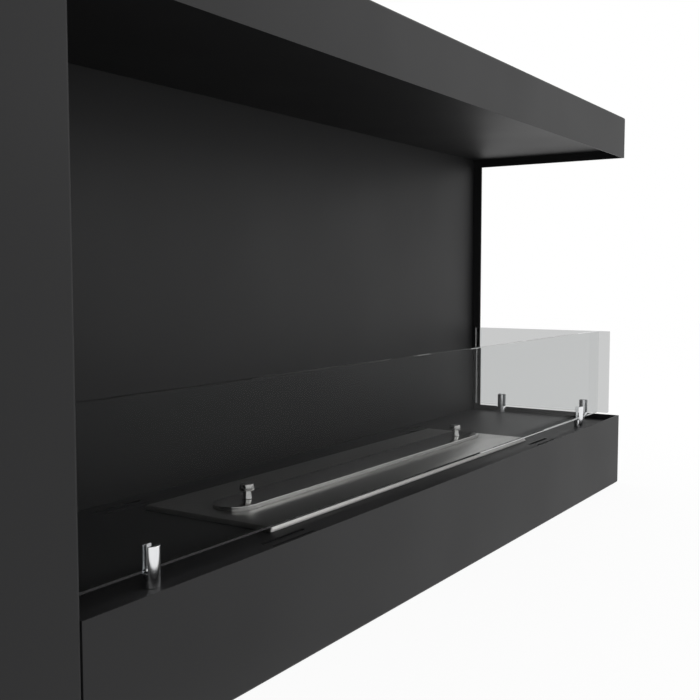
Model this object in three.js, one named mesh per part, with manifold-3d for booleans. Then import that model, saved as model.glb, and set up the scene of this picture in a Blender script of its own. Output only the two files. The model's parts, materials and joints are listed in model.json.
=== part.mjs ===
// Built-in bioethanol fireplace, open to the front and to the right, with a drop-in burner.
// Millimetres, +Z up. The front faces -Y. The origin is at the centre of the underside.

import * as THREE from 'three';
import { mergeVertices } from 'three/addons/utils/BufferGeometryUtils.js';
import ManifoldModule from 'manifold-3d';

const wasm = await ManifoldModule();
wasm.setup();

// ---------------------------------------------------------------- driving dimensions

// Casing
const openingWidth = 957;
const openingHeight = 352;
const chamberDepth = 223;
const columnWidth = 63;
const baseHeight = 94;
const hoodHeight = 54;
const rearCavity = 27;
const casingSheet = 2;
const innerSheet = 1.5;
const bendRadius = 1;
const cornerRadius = 2;
const returnFlange = 22;
const panelEdge = 16;
const deckRecess = 7.4;
const ceilingRecess = 11;
const postReach = 12;
const insertGap = 0.3;

// Stiffeners, vents and fixings
const spacerCrown = 30;
const spacerFoot = 16;
const channelWidth = 30;
const deckSlotLength = 53;
const deckSlotWidth = 4.2;
const deckSlotOffset = 3;
const deckSlotSetback = 18.1;
const deckSlotPitch = 10.7;
const rearSlotLength = 60;
const rearSlotWidth = 6;
const rearSlotPitch = 90;
const rearSlotCount = 9;
const keyholeHead = 9;
const keyholeNeck = 5;
const keyholeDrop = 14;
const keyholeInset = 160;
const keyholeHeight = 420;
const panelScrewInset = 90;
const rearScrewInset = 56;
const screwShank = 4;
const screwHead = 7.6;
const screwHeadHeight = 2.4;
const screwLength = 9;
const screwClearance = 0.3;

// Burner
const burnerWidth = 504;
const burnerDepth = 136.6;
const burnerSetback = 42.2;
const burnerRim = 3.8;
const burnerSheet = 1.5;
const burnerFlare = 0.9;
const burnerEdgeDrop = 3.4;
const cutoutLap = 10;
const trayClearance = 4;
const trayDepth = 66;
const traySheet = 1;
const tankAirGap = 5;
const tankDepth = 54;
const tankFlange = 8;
const woolHeight = 24;
const woolClearance = 1;
const slotEndMargin = 33;
const slotWidth = 23;
const collarWall = 1.2;
const collarDrop = 9;
const collarRise = 1.6;
const collarFlange = 3;
const collarLip = 1;

// Lid with its two knobs
const lidEndLap = 14.5;
const lidSideLap = 7.5;
const lidHeight = 3.9;
const lidSheet = 1.2;
const lidEdgeRadius = 0.5;
const knobInset = 36.5;
const knobOffset = -2;
const knobHeight = 12.6;
const knobHeadDiameter = 13.2;
const knobHeadHeight = 5.6;
const knobStemDiameter = 8.6;
const knobStudDiameter = 3;
const knobRivetHeight = 0.6;
const knobChamfer = 0.6;

// Glass and holders
const glassThickness = 6;
const glassHeight = 112.6;
const glassLift = 11.3;
const glassArris = 0.4;
const frontGlassSetback = 28.5;
const frontGlassGap = 13.5;
const sideGlassInset = 10.6;
const sideGlassStart = 12;
const sideGlassLength = 200.6;
const paneJointGap = 0.5;
const holderDiameter = 12;
const holderHeight = 27;
const holderChamfer = 0.6;
const holderSlotClearance = 0.3;
const holderSlotOffset = 1;
const frontHolderStart = 81;
const frontHolderPitch = 791;
const sideHolderStart = 50;
const sideHolderPitch = 123;
const padThickness = 1.2;

// Facets
const bendFacets = 4;
const edgeFacets = 2;
const slotFacets = 5;
const roundFacets = 28;
const screwFacets = 10;

// ---------------------------------------------------------------- derived planes

const casingWidth = columnWidth + openingWidth;
const casingDepth = chamberDepth + rearCavity;
const casingHeight = baseHeight + openingHeight + hoodHeight;

const left = -casingWidth / 2;
const right = casingWidth / 2;
const front = -casingDepth / 2;
const rear = casingDepth / 2;

const columnFace = left + columnWidth;
const innerRight = right - casingSheet;
const innerFront = front + casingSheet;
const innerRear = rear - casingSheet;
const wallFace = front + chamberDepth;
const deckTop = baseHeight - deckRecess;
const hoodEdge = baseHeight + openingHeight;
const ceilingFace = hoodEdge + ceilingRecess;
const chamberMiddle = (columnFace + innerRight) / 2;

// The flame slot keeps its margin at each end of the burner plate, and the lid laps over it.
const slotLength = burnerWidth - 2 * slotEndMargin;
const lidLength = slotLength + 2 * lidEndLap;
const lidWidth = slotWidth + 2 * lidSideLap;
const deckSlotReach = burnerWidth / 2 + deckSlotOffset;

// The inserted panels lie between these planes.
const insert = {
  x0: columnFace + insertGap,
  x1: innerRight - insertGap,
  y0: innerFront + insertGap,
  y1: wallFace - insertGap,
};

// ---------------------------------------------------------------- solids: joins and cuts

function solidOf(geometry) {
  const bare = geometry.clone();
  bare.deleteAttribute('normal');
  bare.deleteAttribute('uv');
  const merged = mergeVertices(bare);
  return new wasm.Manifold(new wasm.Mesh({
    numProp: 3,
    vertProperties: new Float32Array(merged.attributes.position.array),
    triVerts: new Uint32Array(merged.index.array),
  }));
}

function geometryOf(solid) {
  const mesh = solid.getMesh();
  const geometry = new THREE.BufferGeometry();
  geometry.setAttribute('position', new THREE.BufferAttribute(mesh.vertProperties, 3));
  geometry.setIndex(new THREE.BufferAttribute(mesh.triVerts, 1));
  return geometry;
}

function join(...geometries) {
  return geometryOf(geometries.map(solidOf).reduce((whole, part) => whole.add(part)));
}

function cut(geometry, ...tools) {
  return geometryOf(tools.map(solidOf).reduce((whole, tool) => whole.subtract(tool), solidOf(geometry)));
}

// ---------------------------------------------------------------- outlines and extrusions

function block(x0, x1, y0, y1, z0, z1) {
  const geometry = new THREE.BoxGeometry(x1 - x0, y1 - y0, z1 - z0);
  return geometry.translate((x0 + x1) / 2, (y0 + y1) / 2, (z0 + z1) / 2);
}

function rectangle(width, depth, radius) {
  const x = width / 2 - radius;
  const y = depth / 2 - radius;
  const outline = new THREE.Shape();
  outline.absarc(x, y, radius, 0, Math.PI / 2);
  outline.absarc(-x, y, radius, Math.PI / 2, Math.PI);
  outline.absarc(-x, -y, radius, Math.PI, 1.5 * Math.PI);
  outline.absarc(x, -y, radius, 1.5 * Math.PI, 2 * Math.PI);
  return outline;
}

// A slot or a long plate with round ends, along the first axis.
function stadium(length, width) {
  const reach = (length - width) / 2;
  const outline = new THREE.Shape();
  outline.absarc(reach, 0, width / 2, -Math.PI / 2, Math.PI / 2);
  outline.absarc(-reach, 0, width / 2, Math.PI / 2, 1.5 * Math.PI);
  return outline;
}

function extrude(outline, height, curveSegments = bendFacets) {
  return new THREE.ExtrudeGeometry(outline, { depth: height, bevelEnabled: false, curveSegments });
}

// Edges of a plate: how far they drop and draw in, and the facets of the curve between.
const roundEdge = (radius) => ({ drop: radius, inset: radius, facets: edgeFacets });
const flaredEdge = (drop, inset) => ({ drop, inset, facets: 1 });

// A plate between two heights with the given edge round its top.
function edgedPlate(outline, z0, z1, edge, curveSegments) {
  const plate = new THREE.ExtrudeGeometry(outline, {
    depth: z1 - z0,
    bevelThickness: edge.drop,
    bevelSize: edge.inset,
    bevelOffset: -edge.inset,
    bevelSegments: edge.facets,
    curveSegments,
  });
  plate.translate(0, 0, z0 - edge.drop);
  plate.computeBoundingBox();
  const { min, max } = plate.boundingBox;
  return cut(plate, block(min.x - 1, max.x + 1, min.y - 1, max.y + 1, min.z - 1, z0));
}

// An upside-down tray: a plate with a wall turned down all round, its top face at z = 0.
function cap(outlineOf, width, depth, height, sheet, edge, curveSegments) {
  const outer = edgedPlate(outlineOf(width, depth), -height, 0, edge, curveSegments);
  const inner = extrude(outlineOf(width - 2 * sheet, depth - 2 * sheet), height, curveSegments);
  return cut(outer, inner.translate(0, 0, -height - sheet));
}

// A cap cut from sheet with square welded corners, laid over a rectangle in plan.
function panel({ x0, x1, y0, y1 }, face, turnedEdge, upward = false) {
  const corner = (width, depth) => rectangle(width, depth, cornerRadius);
  const geometry = cap(corner, x1 - x0, y1 - y0, turnedEdge, innerSheet,
    roundEdge(bendRadius), edgeFacets);
  if (upward) {
    geometry.rotateX(Math.PI);
  }
  return geometry.translate((x0 + x1) / 2, (y0 + y1) / 2, face);
}

// ---------------------------------------------------------------- folded sheet

function unit(from, to) {
  return new THREE.Vector2().subVectors(to, from).normalize();
}

// Traces a polyline onto the shape and rounds each bend by the radius given for its hand.
function traceBends(shape, points, leftRadius, rightRadius) {
  points.forEach((point, i) => {
    if (i === 0 || i === points.length - 1) {
      shape.lineTo(point.x, point.y);
      return;
    }
    const inward = unit(points[i - 1], point);
    const outward = unit(point, points[i + 1]);
    const hand = Math.sign(inward.cross(outward));
    const radius = hand > 0 ? leftRadius : rightRadius;
    const setback = radius * Math.tan(Math.acos(inward.dot(outward)) / 2);
    const start = point.clone().addScaledVector(inward, -setback);
    const normal = new THREE.Vector2(-inward.y, inward.x).multiplyScalar(hand);
    const centre = start.clone().addScaledVector(normal, radius);
    const end = point.clone().addScaledVector(outward, setback);
    shape.lineTo(start.x, start.y);
    const from = Math.atan2(start.y - centre.y, start.x - centre.x);
    const to = Math.atan2(end.y - centre.y, end.x - centre.x);
    shape.absarc(centre.x, centre.y, radius, from, to, hand < 0);
  });
}

// Section of a folded sheet. The path runs along one face, and the sheet lies on its left.
function foldedSection(path, sheet = casingSheet, insideRadius = bendRadius) {
  const face = path.map(([x, y]) => new THREE.Vector2(x, y));
  const back = face.map((point, i) => {
    const before = unit(face[Math.max(i - 1, 0)], face[Math.max(i, 1)]);
    const after = unit(face[Math.min(i, face.length - 2)], face[Math.min(i + 1, face.length - 1)]);
    const bisector = new THREE.Vector2(-before.y - after.y, before.x + after.x);
    return point.clone().addScaledVector(bisector, sheet / (1 + before.dot(after)));
  });
  const shape = new THREE.Shape();
  shape.moveTo(face[0].x, face[0].y);
  traceBends(shape, face, insideRadius + sheet, insideRadius);
  traceBends(shape, back.reverse(), insideRadius + sheet, insideRadius);
  shape.closePath();
  return shape;
}

// Extrusions of a section drawn in (y, z), (x, z) and (x, y).
function alongX(section, x0, x1) {
  const turn = new THREE.Matrix4().makeBasis(
    new THREE.Vector3(0, 1, 0),
    new THREE.Vector3(0, 0, 1),
    new THREE.Vector3(1, 0, 0),
  );
  return extrude(section, x1 - x0).applyMatrix4(turn).translate(x0, 0, 0);
}

function alongY(section, y0, y1) {
  return extrude(section, y1 - y0).rotateX(Math.PI / 2).translate(0, y1, 0);
}

function alongZ(section, z0, z1) {
  return extrude(section, z1 - z0).translate(0, 0, z0);
}

// ---------------------------------------------------------------- turned parts

// Revolves a profile of [radius, height] pairs about +Z.
function turned(profile, facets = roundFacets) {
  return new THREE.LatheGeometry(profile.map(([r, z]) => new THREE.Vector2(r, z)), facets)
    .rotateX(Math.PI / 2);
}

function rod(diameter, z0, z1, facets = roundFacets) {
  return turned([[0, z0], [diameter / 2, z0], [diameter / 2, z1], [0, z1]], facets);
}

// A countersunk screw, its head flush with z = 0 and its shank pointing down.
function flushScrew() {
  const shank = screwShank / 2;
  return turned([
    [0, -screwLength],
    [shank, -screwLength],
    [shank, shank - screwHead / 2],
    [screwHead / 2, 0],
    [0, 0],
  ], screwFacets);
}

// The bore for it, through the countersunk sheet and the one beneath.
function flushBore() {
  const shank = screwShank / 2 + screwClearance;
  const head = screwHead / 2 + screwClearance;
  return turned([
    [0, -2 * screwLength],
    [shank, -2 * screwLength],
    [shank, shank - head],
    [head, 0],
    [head, casingSheet],
    [0, casingSheet],
  ], screwFacets);
}

// A pan-head screw whose head rests on z = 0 and whose shank points down.
function panHeadScrew() {
  const shank = screwShank / 2;
  const head = screwHead / 2;
  return turned([
    [0, -screwLength],
    [shank, -screwLength],
    [shank, 0],
    [head, 0],
    [head, 0.55 * screwHeadHeight],
    [0.6 * head, screwHeadHeight],
    [0, screwHeadHeight],
  ], screwFacets);
}

function screwHole(depth) {
  return rod(screwShank + 2 * screwClearance, -depth, depth, screwFacets);
}

// ---------------------------------------------------------------- finishes

const blackSteel = new THREE.MeshStandardMaterial({ color: 0x2b2b2c, roughness: 0.55, metalness: 0.2 });
const zincSteel = new THREE.MeshStandardMaterial({ color: 0x9a9ea2, roughness: 0.45, metalness: 0.9 });
const brushedSteel = new THREE.MeshStandardMaterial({ color: 0xa9a9a8, roughness: 0.3, metalness: 1 });
const chrome = new THREE.MeshStandardMaterial({ color: 0xe2e3e5, roughness: 0.08, metalness: 1 });
const smokedGlass = new THREE.MeshStandardMaterial({
  color: 0xc6cbc9,
  roughness: 0.03,
  metalness: 0,
  transparent: true,
  opacity: 0.35,
});
const rubber = new THREE.MeshStandardMaterial({ color: 0x1c1c1d, roughness: 0.9, metalness: 0 });
const ceramicWool = new THREE.MeshStandardMaterial({ color: 0xe9e6dc, roughness: 1, metalness: 0 });

const fireplace = new THREE.Group();

function add(name, geometry, material, parent = fireplace) {
  const mesh = new THREE.Mesh(geometry, material);
  mesh.name = name;
  parent.add(mesh);
  return mesh;
}

// ---------------------------------------------------------------- outer casing

// Screws along the front and right flanges hold the floor and the top of the hood.
const flangeScrewY = front + casingSheet + (returnFlange - casingSheet) / 2;
const flangeScrewX = right - casingSheet - (returnFlange - casingSheet) / 2;
const flangeScrewPlaces = {
  front_left: [columnFace + panelScrewInset, flangeScrewY],
  front_right: [innerRight - panelScrewInset, flangeScrewY],
  side: [flangeScrewX, 0],
};

// Bores for those screws, entering through the flanges of the base or of the hood.
function flangeBores(face) {
  return Object.values(flangeScrewPlaces)
    .map(([x, y]) => flushBore().rotateX(face > 0 ? 0 : Math.PI).translate(x, y, face));
}

// Apron panel of the base: face, and a flange turned in along the bottom.
const baseSection = (outer, inward) => (outer < 0
  ? foldedSection([[outer, baseHeight], [outer, 0], [outer + inward, 0]])
  : foldedSection([[outer - inward, 0], [outer, 0], [outer, baseHeight]]));

// Fascia panel of the hood: face, and a flange turned in along the top.
const hoodSection = (outer, inward) => (outer < 0
  ? foldedSection([[outer + inward, casingHeight], [outer, casingHeight], [outer, hoodEdge]])
  : foldedSection([[outer, hoodEdge], [outer, casingHeight], [outer - inward, casingHeight]]));

// The two panels of a corner: the front one runs through, and both flanges are notched to meet.
function addCorner(name, section, face) {
  const inner = face - Math.sign(face - casingHeight / 2) * (casingSheet + bendRadius + insertGap);
  const [z0, z1] = [Math.min(face, inner), Math.max(face, inner)];
  const notch = block(innerRight - insertGap, right, innerFront, rear, z0, z1);
  const relief = block(left, innerRight, front, front + returnFlange + insertGap, z0, z1);
  const bores = flangeBores(face);
  const facing = alongX(section(front, returnFlange), columnFace, right);
  const flank = alongY(section(right, returnFlange), innerFront, innerRear);
  add(`${name}_front_panel`, cut(facing, notch, ...bores), blackSteel);
  add(`${name}_right_panel`, cut(flank, relief, ...bores), blackSteel);
}

// What is cut through the rear panel is drawn lying down and stood up at the panel's face.
function standAtRear(geometry, x, z) {
  return geometry.rotateX(-Math.PI / 2).translate(x, rear, z);
}

// Screws through the rear panel go into the flanges of the column and of the rear post.
const rearScrewPlaces = {
  low_left: [left + returnFlange / 2, baseHeight / 2],
  low_right: [right - returnFlange / 2, baseHeight + rearScrewInset],
  high_left: [left + returnFlange / 2, casingHeight - hoodHeight / 2],
  high_right: [right - returnFlange / 2, hoodEdge - rearScrewInset],
};

function rearBores() {
  return Object.values(rearScrewPlaces)
    .map(([x, z]) => standAtRear(flushBore(), x, z));
}

// The column is one sheet: inner side, front, outer side and a flange behind.
function addColumn() {
  const section = foldedSection([
    [left + returnFlange, innerRear],
    [left, innerRear],
    [left, front],
    [columnFace, front],
    [columnFace, innerRear - insertGap],
  ]);
  add('column_shell', cut(alongZ(section, 0, casingHeight), ...rearBores()), blackSteel);
  const inside = {
    x0: left + casingSheet + insertGap,
    x1: columnFace - casingSheet - insertGap,
    y0: innerFront + insertGap,
    y1: innerRear - casingSheet - insertGap,
  };
  add('column_foot_cap', panel(inside, 0, panelEdge, true), blackSteel);
  add('column_top_cap', panel(inside, casingHeight, panelEdge), blackSteel);
}

// The post closes the gap behind the back wall and stands a little in front of it.
const postFront = wallFace - postReach;

function addRearPost() {
  const section = foldedSection([
    [right, postFront],
    [right, innerRear],
    [right - returnFlange, innerRear],
  ]);
  add('rear_post', cut(alongZ(section, baseHeight, hoodEdge), ...rearBores()), blackSteel);
}

// A hanging hole: the neck runs up from the opening that takes the screw's head.
function keyhole() {
  const neck = extrude(stadium(2 * keyholeDrop, keyholeNeck), 4 * casingSheet, slotFacets)
    .rotateZ(Math.PI / 2)
    .translate(0, 0, -2 * casingSheet);
  const mouth = rod(keyholeHead, -2 * casingSheet, 2 * casingSheet, screwFacets)
    .translate(0, keyholeDrop - keyholeNeck / 2, 0);
  return join(neck, mouth);
}

function addRearPanel() {
  const tools = [];
  [baseHeight / 2, casingHeight - hoodHeight / 2].forEach((z) => {
    for (let i = 0; i < rearSlotCount; i += 1) {
      const x = (i - (rearSlotCount - 1) / 2) * rearSlotPitch;
      const slot = extrude(stadium(rearSlotLength, rearSlotWidth), 4 * casingSheet, slotFacets);
      tools.push(standAtRear(slot.translate(0, 0, -2 * casingSheet), x, z));
    }
  });
  [left + keyholeInset, right - keyholeInset].forEach((x) => {
    tools.push(standAtRear(keyhole(), x, keyholeHeight));
  });
  const sheet = block(left, right, innerRear, rear, 0, casingHeight);
  add('rear_panel', cut(sheet, ...tools, ...rearBores()), zincSteel);
}

// ---------------------------------------------------------------- inner lining

const deckCutout = {
  width: burnerWidth - 2 * cutoutLap,
  depth: burnerDepth - 2 * cutoutLap,
};

const burnerPlace = {
  x: chamberMiddle,
  y: front + burnerSetback + burnerDepth / 2,
};

const frontGlassY = front + frontGlassSetback;
const sideGlassX = right - sideGlassInset;
const frontHolderXs = [0, 1].map((i) => columnFace + frontHolderStart + i * frontHolderPitch);
const sideHolderYs = [0, 1].map((i) => front + sideHolderStart + i * sideHolderPitch);

const holderPlaces = [
  { name: 'front_left', x: frontHolderXs[0], y: frontGlassY - holderSlotOffset, alongDepth: false },
  { name: 'front_right', x: frontHolderXs[1], y: frontGlassY - holderSlotOffset, alongDepth: false },
  { name: 'side_front', x: sideGlassX + holderSlotOffset, y: sideHolderYs[0], alongDepth: true },
  { name: 'side_rear', x: sideGlassX + holderSlotOffset, y: sideHolderYs[1], alongDepth: true },
];

// Air slots: a pair near each corner of the burner, in front of it and behind it.
function deckSlots() {
  const slots = [];
  const middle = (innerFront + wallFace) / 2;
  const nearest = middle - (front + deckSlotSetback);
  [-1, 1].forEach((side) => {
    const x = chamberMiddle + side * deckSlotReach;
    [nearest, nearest - deckSlotPitch].forEach((away) => [-1, 1].forEach((end) => {
      slots.push(extrude(stadium(deckSlotLength, deckSlotWidth), 4 * innerSheet, slotFacets)
        .translate(x, middle + end * away, deckTop - 2 * innerSheet));
    }));
  });
  return slots;
}

function addDeck() {
  const { width, depth } = deckCutout;
  const opening = extrude(rectangle(width, depth, 2 * bendRadius), 4 * innerSheet)
    .translate(burnerPlace.x, burnerPlace.y, deckTop - 2 * innerSheet);
  const bores = holderPlaces.map(({ x, y }) => screwHole(2 * innerSheet).translate(x, y, deckTop));
  add('deck', cut(panel(insert, deckTop, panelEdge), opening, ...deckSlots(), ...bores), blackSteel);
}

function addCeiling() {
  add('ceiling', panel(insert, ceilingFace, panelEdge, true), blackSteel);
}

// The back wall stands behind the deck and the ceiling, its edges turned to the rear.
function addBackWall() {
  const plan = {
    x0: columnFace + insertGap,
    x1: innerRight - insertGap,
    y0: deckTop - panelEdge,
    y1: ceilingFace + panelEdge,
  };
  const wall = panel(plan, 0, panelEdge).rotateX(Math.PI / 2).translate(0, wallFace, 0);
  add('back_wall', wall, blackSteel);
}

function addFloor() {
  const plan = { ...insert, y1: innerRear - insertGap };
  add('floor_panel', cut(panel(plan, casingSheet, panelEdge, true), ...flangeBores(0)), zincSteel);
}

function addHoodTop() {
  const plan = { ...insert, y1: innerRear - insertGap };
  const cover = panel(plan, casingHeight - casingSheet, panelEdge);
  add('hood_top', cut(cover, ...flangeBores(casingHeight)), zincSteel);
}

// Hat sections hold the back wall off the rear panel.
function addWallSpacers() {
  const crown = wallFace + innerSheet;
  const foot = innerRear - innerSheet;
  const halfCrown = spacerCrown / 2;
  const halfFoot = halfCrown + spacerFoot;
  const spots = { left: 0.2, middle: 0.5, right: 0.8 };
  Object.entries(spots).forEach(([spot, share]) => {
    const x = columnFace + share * (innerRight - columnFace);
    const section = foldedSection([
      [x - halfFoot, foot],
      [x - halfCrown, foot],
      [x - halfCrown, crown],
      [x + halfCrown, crown],
      [x + halfCrown, foot],
      [x + halfFoot, foot],
    ], innerSheet);
    add(`wall_spacer_${spot}`, alongZ(section, deckTop + panelEdge, ceilingFace - panelEdge), zincSteel);
  });
}

// Channels carry the deck on either side of the burner, and the hood top over the ceiling.
function channelAcross(x, width, z0, z1) {
  return alongY(foldedSection([
    [x + width, z0],
    [x, z0],
    [x, z1],
    [x + width, z1],
  ].reverse(), innerSheet), insert.y0 + panelEdge, insert.y1 - panelEdge);
}

function addCrossChannels() {
  const reach = deckCutout.width / 2 + 2 * channelWidth;
  const floorTop = casingSheet + innerSheet;
  [['left', -1], ['right', 1]].forEach(([side, sign]) => {
    const x = chamberMiddle + sign * reach - channelWidth / 2;
    add(`deck_channel_${side}`, channelAcross(x, channelWidth, floorTop, deckTop - innerSheet), zincSteel);
    add(`hood_channel_${side}`, channelAcross(x, channelWidth, ceilingFace + innerSheet,
      casingHeight - casingSheet - innerSheet), zincSteel);
  });
}

// ---------------------------------------------------------------- burner

// The burner's own frame: z = 0 on the deck, centred on the burner plate.
const burner = new THREE.Group();
burner.position.set(burnerPlace.x, burnerPlace.y, deckTop);
fireplace.add(burner);

const plateTop = insertGap + burnerRim;
const plateUnderside = plateTop - burnerSheet;
const lidTop = plateTop + insertGap + lidHeight;
const lidUnderside = lidTop - lidSheet;
const trayWidth = deckCutout.width - 2 * trayClearance;
const trayBreadth = deckCutout.depth - 2 * trayClearance;
const tankWidth = trayWidth - 2 * (traySheet + tankAirGap);
const tankBreadth = trayBreadth - 2 * (traySheet + tankAirGap);
const knobXs = [-1, 1].map((end) => knobOffset + end * (lidLength / 2 - knobInset));

function addBurnerPlate() {
  const outline = (width, depth) => rectangle(width, depth, cornerRadius);
  const plate = cap(outline, burnerWidth, burnerDepth, burnerRim, burnerSheet,
    flaredEdge(burnerEdgeDrop, burnerFlare), edgeFacets);
  const slot = extrude(stadium(slotLength, slotWidth), 4 * burnerSheet, 8);
  const cutPlate = cut(plate, slot.translate(0, 0, -2 * burnerSheet));
  add('burner_plate', cutPlate.translate(0, 0, plateTop), brushedSteel, burner);
}

// An open tray of thin sheet with a flange turned out under the burner plate.
function hungTray(width, breadth, depth, flangeFace) {
  const corner = (w, d) => rectangle(w, d, 3);
  const shell = cap(corner, width, breadth, depth, traySheet, roundEdge(traySheet), 3).rotateX(Math.PI);
  shell.translate(0, 0, flangeFace - depth);
  const flange = extrude(rectangle(width + 2 * tankFlange, breadth + 2 * tankFlange, 3), traySheet, 3)
    .translate(0, 0, flangeFace - traySheet);
  const mouth = extrude(corner(width - 2 * traySheet, breadth - 2 * traySheet), 4 * traySheet, 3)
    .translate(0, 0, flangeFace - 2 * traySheet);
  return cut(join(shell, flange), mouth);
}

function addTank() {
  const tank = hungTray(tankWidth, tankBreadth, tankDepth, plateUnderside);
  const tray = hungTray(trayWidth, trayBreadth, trayDepth, plateUnderside - traySheet);
  add('fuel_tank', tank, brushedSteel, burner);
  add('spill_tray', tray, brushedSteel, burner);
  const wool = extrude(rectangle(tankWidth - 2 * (traySheet + woolClearance),
    tankBreadth - 2 * (traySheet + woolClearance), 4), woolHeight, 3);
  const tankFloor = plateUnderside - tankDepth + traySheet;
  add('ceramic_wool', wool.translate(0, 0, tankFloor + insertGap), ceramicWool, burner);
}

// A lipped lining stands in the flame slot: two rails and two round ends, which the lid goes over.
function addSlotCollar() {
  const length = slotLength - 2 * insertGap;
  const width = slotWidth - 2 * insertGap;
  const ring = (grown, z0, z1) => extrude(stadium(length + grown, width + grown), z1 - z0, 8)
    .translate(0, 0, z0);
  const tube = ring(0, plateUnderside - collarDrop, plateTop + collarRise);
  const lip = ring(2 * (collarFlange + insertGap), plateTop, plateTop + collarLip);
  const bore = ring(-2 * collarWall, -collarDrop - plateTop, 2 * plateTop);
  const lining = cut(join(tube, lip), bore);
  const straight = (slotLength - slotWidth) / 2;
  const beyond = length;
  const middle = (x0, x1, y0, y1) => block(x0, x1, y0, y1, -2 * collarDrop, 2 * plateTop);
  const rest = (gap) => middle(-straight + gap, straight - gap, -beyond, beyond);
  const ends = cut(lining, rest(-insertGap / 2));
  [['left', -1], ['right', 1]].forEach(([side, sign]) => {
    const other = middle(Math.min(0, -sign * beyond), Math.max(0, -sign * beyond), -beyond, beyond);
    add(`slot_end_${side}`, cut(ends, other), brushedSteel, burner);
  });
  const rails = cut(lining, middle(-beyond, -straight + insertGap / 2, -beyond, beyond),
    middle(straight - insertGap / 2, beyond, -beyond, beyond));
  [['front', 1], ['rear', -1]].forEach(([side, sign]) => {
    const other = middle(-beyond, beyond, Math.min(0, sign * beyond), Math.max(0, sign * beyond));
    add(`slot_rail_${side}`, cut(rails, other), brushedSteel, burner);
  });
}

function addLid() {
  const shell = cap(stadium, lidLength, lidWidth, lidHeight, lidSheet, roundEdge(lidEdgeRadius), 12);
  const bores = knobXs.map((x) => rod(knobStudDiameter + 2 * insertGap, -2 * lidSheet, lidSheet, 12)
    .translate(x, 0, 0));
  add('lid', cut(shell, ...bores).translate(0, 0, lidTop), brushedSteel, burner);
}

// A shouldered knob: its stud passes through the lid and is riveted below.
function knob() {
  const stem = knobStemDiameter / 2;
  const head = knobHeadDiameter / 2;
  const stud = knobStudDiameter / 2;
  const headBottom = knobHeight - knobHeadHeight;
  const rivetTop = -lidSheet - 2 * insertGap;
  return turned([
    [0, rivetTop - knobRivetHeight],
    [stem - knobChamfer, rivetTop - knobRivetHeight],
    [stem, rivetTop],
    [stud, rivetTop],
    [stud, 0],
    [stem, 0],
    [stem, headBottom],
    [head - knobChamfer, headBottom],
    [head, headBottom + knobChamfer],
    [head, knobHeight - knobChamfer],
    [head - knobChamfer, knobHeight],
    [0, knobHeight],
  ]);
}

function addKnobs() {
  ['left', 'right'].forEach((side, i) => {
    add(`lid_knob_${side}`, knob(), brushedSteel, burner).position.set(knobXs[i], 0, lidTop + insertGap);
  });
}

// ---------------------------------------------------------------- glass and holders

const glassFoot = deckTop + glassLift;
const slotFloor = glassLift - padThickness - 2 * insertGap;
const slotGapWidth = glassThickness + 2 * holderSlotClearance;

// A pane with a fine arris along its edges, drawn upright in (length, height).
function pane(length) {
  const outline = new THREE.Shape();
  outline.moveTo(0, 0);
  outline.lineTo(length, 0);
  outline.lineTo(length, glassHeight);
  outline.lineTo(0, glassHeight);
  const geometry = new THREE.ExtrudeGeometry(outline, {
    depth: glassThickness - 2 * glassArris,
    bevelThickness: glassArris,
    bevelSize: glassArris,
    bevelOffset: -glassArris,
    bevelSegments: 1,
  });
  return geometry.translate(0, 0, glassArris - glassThickness / 2).rotateX(Math.PI / 2);
}

function addGlass() {
  const frontEnd = sideGlassX - glassThickness / 2 - paneJointGap;
  const frontStart = columnFace + frontGlassGap;
  const frontPane = pane(frontEnd - frontStart).translate(frontStart, frontGlassY, glassFoot);
  add('front_glass', frontPane, smokedGlass);
  const sidePane = pane(sideGlassLength).rotateZ(Math.PI / 2)
    .translate(sideGlassX, front + sideGlassStart, glassFoot);
  add('side_glass', sidePane, smokedGlass);
}

// A slotted cylinder with a tapped foot, its slot along X and its thicker ear towards -Y.
function holder() {
  const radius = holderDiameter / 2;
  const body = turned([
    [0, 0],
    [radius, 0],
    [radius, holderHeight - holderChamfer],
    [radius - holderChamfer, holderHeight],
    [0, holderHeight],
  ]);
  const slot = block(-holderDiameter, holderDiameter, -slotGapWidth / 2, slotGapWidth / 2,
    slotFloor, 2 * holderHeight).translate(0, holderSlotOffset, 0);
  return cut(body, slot, screwHole(screwLength - 1));
}

function holderPad() {
  const reach = 0.6 * holderDiameter / 2;
  return block(-reach, reach, -glassThickness / 2, glassThickness / 2, 0, padThickness)
    .translate(0, holderSlotOffset, 0);
}

function addHolders() {
  holderPlaces.forEach(({ name, x, y, alongDepth }) => {
    const turn = (geometry) => (alongDepth ? geometry.rotateZ(Math.PI / 2) : geometry);
    add(`glass_holder_${name}`, turn(holder()), chrome).position.set(x, y, deckTop);
    add(`glass_pad_${name}`, turn(holderPad()), rubber).position.set(x, y, deckTop + slotFloor + insertGap);
    const screw = add(`holder_screw_${name}`, panHeadScrew(), zincSteel);
    screw.rotation.x = Math.PI;
    screw.position.set(x, y, deckTop - innerSheet - insertGap);
  });
}

// ---------------------------------------------------------------- screws of the casing

function addCasingScrews() {
  Object.entries(flangeScrewPlaces).forEach(([spot, [x, y]]) => {
    const below = add(`floor_screw_${spot}`, flushScrew(), zincSteel);
    below.rotation.x = Math.PI;
    below.position.set(x, y, 0);
    add(`hood_screw_${spot}`, flushScrew(), zincSteel).position.set(x, y, casingHeight);
  });
  Object.entries(rearScrewPlaces).forEach(([spot, [x, z]]) => {
    const screw = add(`rear_screw_${spot}`, flushScrew(), zincSteel);
    screw.rotation.x = -Math.PI / 2;
    screw.position.set(x, rear, z);
  });
}

// ---------------------------------------------------------------- assembly

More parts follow.
